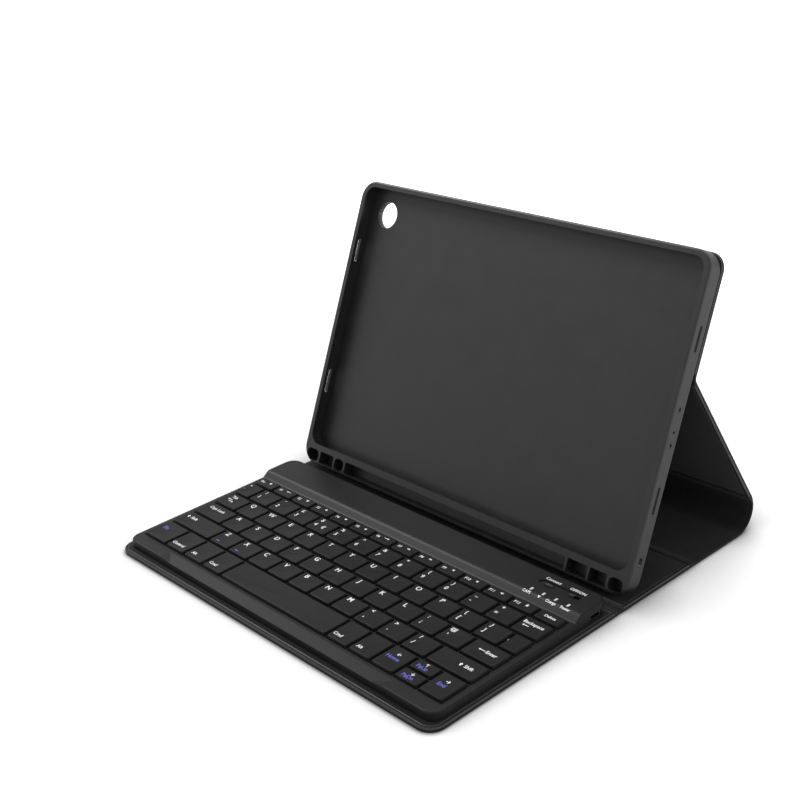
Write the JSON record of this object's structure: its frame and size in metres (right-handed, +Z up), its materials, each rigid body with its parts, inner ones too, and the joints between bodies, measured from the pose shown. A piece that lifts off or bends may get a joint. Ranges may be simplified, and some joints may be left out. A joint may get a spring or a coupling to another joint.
{
  "type": "tablet keyboard case",
  "caption": "Folio case for a tablet: a soft tray leans on a folding stand panel over a base that carries a thin detachable keyboard with a raised rear bar.",
  "frame": {"origin": "middle of the underside of the front panel, on the desk", "axes": "+X along the keyboard to the right as typed on, +Y from the typist towards the stand, +Z up"},
  "size_m": [0.262, 0.253, 0.1732],
  "materials": {
    "cover_leather": "matte embossed synthetic leather",
    "stiff_board": "plain pressed board",
    "lining_cloth": "fine matte microfibre",
    "tray_rubber": "satin moulded soft plastic",
    "key_plastic": "fine matte moulded plastic",
    "case_plastic": "fine matte moulded plastic",
    "plain_steel": "rolled sheet",
    "magnet_plating": "bright nickel",
    "dome_rubber": "moulded silicone",
    "clear_film": "smooth film",
    "circuit_laminate": "lacquered laminate",
    "cell_pouch": "foil pouch",
    "light_plastic": "clear moulded plastic"
  },
  "bodies": {
    "base": {"rear_panel_skin": "cover_leather", "rear_panel_board": "stiff_board", "rear_panel_lining": "lining_cloth", "spine_skin": "cover_leather", "spine_lining": "lining_cloth", "spine_bend": "cover_leather", "crease_strip": "cover_leather"},
    "front_panel": {"front_panel_skin": "cover_leather", "front_panel_board": "stiff_board", "front_panel_lining": "lining_cloth", "front_panel_magnets": "magnet_plating"},
    "stand_panel": {"stand_panel_skin": "cover_leather", "stand_panel_board": "stiff_board", "stand_panel_lining": "lining_cloth", "fold_strip": "cover_leather"},
    "tray": {"tablet_tray": "tray_rubber", "back_strip_skin": "cover_leather", "back_strip_board": "stiff_board"},
    "keyboard": {"keyboard_top_case": "case_plastic", "keyboard_bottom_cover": "case_plastic", "keeper_plates": "plain_steel", "support_plate": "plain_steel", "contact_film": "clear_film", "rubber_domes": "dome_rubber", "battery_cell": "cell_pouch", "circuit_board": "circuit_laminate", "charge_socket": "plain_steel", "indicator_lights": "light_plastic"},
    "power_switch": {"power_switch": "case_plastic"},
    "connect_button": {"connect_button": "case_plastic"},
    "key_alt_left": {"key_alt_left": "key_plastic"},
    "key_alt_right": {"key_alt_right": "key_plastic"},
    "key_arrow_down": {"key_arrow_down": "key_plastic"},
    "key_arrow_left": {"key_arrow_left": "key_plastic"},
    "key_arrow_right": {"key_arrow_right": "key_plastic"},
    "key_arrow_up": {"key_arrow_up": "key_plastic"},
    "key_backslash": {"key_backslash": "key_plastic"},
    "key_backspace": {"key_backspace": "key_plastic"},
    "key_caps_lock": {"key_caps_lock": "key_plastic"},
    "key_command_left": {"key_command_left": "key_plastic"},
    "key_command_right": {"key_command_right": "key_plastic"},
    "key_control": {"key_control": "key_plastic"},
    "key_enter": {"key_enter": "key_plastic"},
    "key_fn": {"key_fn": "key_plastic"},
    "key_grave": {"key_grave": "key_plastic"},
    "key_shift_left": {"key_shift_left": "key_plastic"},
    "key_shift_right": {"key_shift_right": "key_plastic"},
    "key_space": {"key_space": "key_plastic"},
    "key_tab": {"key_tab": "key_plastic"},
    "keys_1_to_6": {"keys_1_to_6": "key_plastic"},
    "keys_7_to_equals": {"keys_7_to_equals": "key_plastic"},
    "keys_a_to_h": {"keys_a_to_h": "key_plastic"},
    "keys_escape_to_f6": {"keys_escape_to_f6": "key_plastic"},
    "keys_f7_to_delete": {"keys_f7_to_delete": "key_plastic"},
    "keys_j_to_quote": {"keys_j_to_quote": "key_plastic"},
    "keys_n_to_slash": {"keys_n_to_slash": "key_plastic"},
    "keys_q_to_y": {"keys_q_to_y": "key_plastic"},
    "keys_u_to_bracket": {"keys_u_to_bracket": "key_plastic"},
    "keys_z_to_b": {"keys_z_to_b": "key_plastic"}
  },
  "joints": [
    {"name": "front_panel_fold", "type": "hinge", "parent": "base", "child": "front_panel", "pos_m": [0, 0.0685, 0], "axis": [1, 0, 0], "range_deg": [-30, 175], "deforming": ["crease_strip"]},
    {"name": "stand_fold", "type": "hinge", "parent": "base", "child": "stand_panel", "pos_m": [0, 0.18747, 0.00592], "axis": [-1, 0, 0], "range_deg": [0, 121.5], "deforming": ["spine_bend"]},
    {"name": "tray_fold", "type": "hinge", "parent": "stand_panel", "child": "tray", "pos_m": [0, 0.13072, 0.1091], "axis": [1, 0, 0], "range_deg": [0, 55.1], "deforming": ["fold_strip"]},
    {"name": "keyboard_lift", "type": "slide", "parent": "front_panel", "child": "keyboard", "axis": [0, 0, 1], "range_m": [0, 0.02]},
    {"name": "power_switch_slide", "type": "slide", "parent": "keyboard", "child": "power_switch", "axis": [1, 0, 0], "range_m": [0, 0.003]},
    {"name": "connect_press", "type": "slide", "parent": "keyboard", "child": "connect_button", "axis": [0, 0, -1], "range_m": [0, 0.0004], "stiffness_N_per_m": 500, "springref_m": -0.0004},
    {"name": "key_alt_left_press", "type": "slide", "parent": "keyboard", "child": "key_alt_left", "axis": [0, 0, -1], "range_m": [0, 0.0012], "stiffness_N_per_m": 350, "springref_m": -0.0007},
    {"name": "key_alt_right_press", "type": "slide", "parent": "keyboard", "child": "key_alt_right", "axis": [0, 0, -1], "range_m": [0, 0.0012], "stiffness_N_per_m": 350, "springref_m": -0.0007},
    {"name": "key_arrow_down_press", "type": "slide", "parent": "keyboard", "child": "key_arrow_down", "axis": [0, 0, -1], "range_m": [0, 0.0012], "stiffness_N_per_m": 350, "springref_m": -0.0007},
    {"name": "key_arrow_left_press", "type": "slide", "parent": "keyboard", "child": "key_arrow_left", "axis": [0, 0, -1], "range_m": [0, 0.0012], "stiffness_N_per_m": 350, "springref_m": -0.0007},
    {"name": "key_arrow_right_press", "type": "slide", "parent": "keyboard", "child": "key_arrow_right", "axis": [0, 0, -1], "range_m": [0, 0.0012], "stiffness_N_per_m": 350, "springref_m": -0.0007},
    {"name": "key_arrow_up_press", "type": "slide", "parent": "keyboard", "child": "key_arrow_up", "axis": [0, 0, -1], "range_m": [0, 0.0012], "stiffness_N_per_m": 350, "springref_m": -0.0007},
    {"name": "key_backslash_press", "type": "slide", "parent": "keyboard", "child": "key_backslash", "axis": [0, 0, -1], "range_m": [0, 0.0012], "stiffness_N_per_m": 350, "springref_m": -0.0007},
    {"name": "key_backspace_press", "type": "slide", "parent": "keyboard", "child": "key_backspace", "axis": [0, 0, -1], "range_m": [0, 0.0012], "stiffness_N_per_m": 350, "springref_m": -0.0007},
    {"name": "key_caps_lock_press", "type": "slide", "parent": "keyboard", "child": "key_caps_lock", "axis": [0, 0, -1], "range_m": [0, 0.0012], "stiffness_N_per_m": 350, "springref_m": -0.0007},
    {"name": "key_command_left_press", "type": "slide", "parent": "keyboard", "child": "key_command_left", "axis": [0, 0, -1], "range_m": [0, 0.0012], "stiffness_N_per_m": 350, "springref_m": -0.0007},
    {"name": "key_command_right_press", "type": "slide", "parent": "keyboard", "child": "key_command_right", "axis": [0, 0, -1], "range_m": [0, 0.0012], "stiffness_N_per_m": 350, "springref_m": -0.0007},
    {"name": "key_control_press", "type": "slide", "parent": "keyboard", "child": "key_control", "axis": [0, 0, -1], "range_m": [0, 0.0012], "stiffness_N_per_m": 350, "springref_m": -0.0007},
    {"name": "key_enter_press", "type": "slide", "parent": "keyboard", "child": "key_enter", "axis": [0, 0, -1], "range_m": [0, 0.0012], "stiffness_N_per_m": 350, "springref_m": -0.0007},
    {"name": "key_fn_press", "type": "slide", "parent": "keyboard", "child": "key_fn", "axis": [0, 0, -1], "range_m": [0, 0.0012], "stiffness_N_per_m": 350, "springref_m": -0.0007},
    {"name": "key_grave_press", "type": "slide", "parent": "keyboard", "child": "key_grave", "axis": [0, 0, -1], "range_m": [0, 0.0012], "stiffness_N_per_m": 350, "springref_m": -0.0007},
    {"name": "key_shift_left_press", "type": "slide", "parent": "keyboard", "child": "key_shift_left", "axis": [0, 0, -1], "range_m": [0, 0.0012], "stiffness_N_per_m": 350, "springref_m": -0.0007},
    {"name": "key_shift_right_press", "type": "slide", "parent": "keyboard", "child": "key_shift_right", "axis": [0, 0, -1], "range_m": [0, 0.0012], "stiffness_N_per_m": 350, "springref_m": -0.0007},
    {"name": "key_space_press", "type": "slide", "parent": "keyboard", "child": "key_space", "axis": [0, 0, -1], "range_m": [0, 0.0012], "stiffness_N_per_m": 350, "springref_m": -0.0007},
    {"name": "key_tab_press", "type": "slide", "parent": "keyboard", "child": "key_tab", "axis": [0, 0, -1], "range_m": [0, 0.0012], "stiffness_N_per_m": 350, "springref_m": -0.0007},
    {"name": "keys_1_to_6_press", "type": "slide", "parent": "keyboard", "child": "keys_1_to_6", "axis": [0, 0, -1], "range_m": [0, 0.0012], "stiffness_N_per_m": 350, "springref_m": -0.0007},
    {"name": "keys_7_to_equals_press", "type": "slide", "parent": "keyboard", "child": "keys_7_to_equals", "axis": [0, 0, -1], "range_m": [0, 0.0012], "stiffness_N_per_m": 350, "springref_m": -0.0007},
    {"name": "keys_a_to_h_press", "type": "slide", "parent": "keyboard", "child": "keys_a_to_h", "axis": [0, 0, -1], "range_m": [0, 0.0012], "stiffness_N_per_m": 350, "springref_m": -0.0007},
    {"name": "keys_escape_to_f6_press", "type": "slide", "parent": "keyboard", "child": "keys_escape_to_f6", "axis": [0, 0, -1], "range_m": [0, 0.0012], "stiffness_N_per_m": 350, "springref_m": -0.0007},
    {"name": "keys_f7_to_delete_press", "type": "slide", "parent": "keyboard", "child": "keys_f7_to_delete", "axis": [0, 0, -1], "range_m": [0, 0.0012], "stiffness_N_per_m": 350, "springref_m": -0.0007},
    {"name": "keys_j_to_quote_press", "type": "slide", "parent": "keyboard", "child": "keys_j_to_quote", "axis": [0, 0, -1], "range_m": [0, 0.0012], "stiffness_N_per_m": 350, "springref_m": -0.0007},
    {"name": "keys_n_to_slash_press", "type": "slide", "parent": "keyboard", "child": "keys_n_to_slash", "axis": [0, 0, -1], "range_m": [0, 0.0012], "stiffness_N_per_m": 350, "springref_m": -0.0007},
    {"name": "keys_q_to_y_press", "type": "slide", "parent": "keyboard", "child": "keys_q_to_y", "axis": [0, 0, -1], "range_m": [0, 0.0012], "stiffness_N_per_m": 350, "springref_m": -0.0007},
    {"name": "keys_u_to_bracket_press", "type": "slide", "parent": "keyboard", "child": "keys_u_to_bracket", "axis": [0, 0, -1], "range_m": [0, 0.0012], "stiffness_N_per_m": 350, "springref_m": -0.0007},
    {"name": "keys_z_to_b_press", "type": "slide", "parent": "keyboard", "child": "keys_z_to_b", "axis": [0, 0, -1], "range_m": [0, 0.0012], "stiffness_N_per_m": 350, "springref_m": -0.0007}
  ],
  "couplings": [
    {"joint": "tray_fold", "follows": "stand_fold", "ratio": 0.45269}
  ]
}
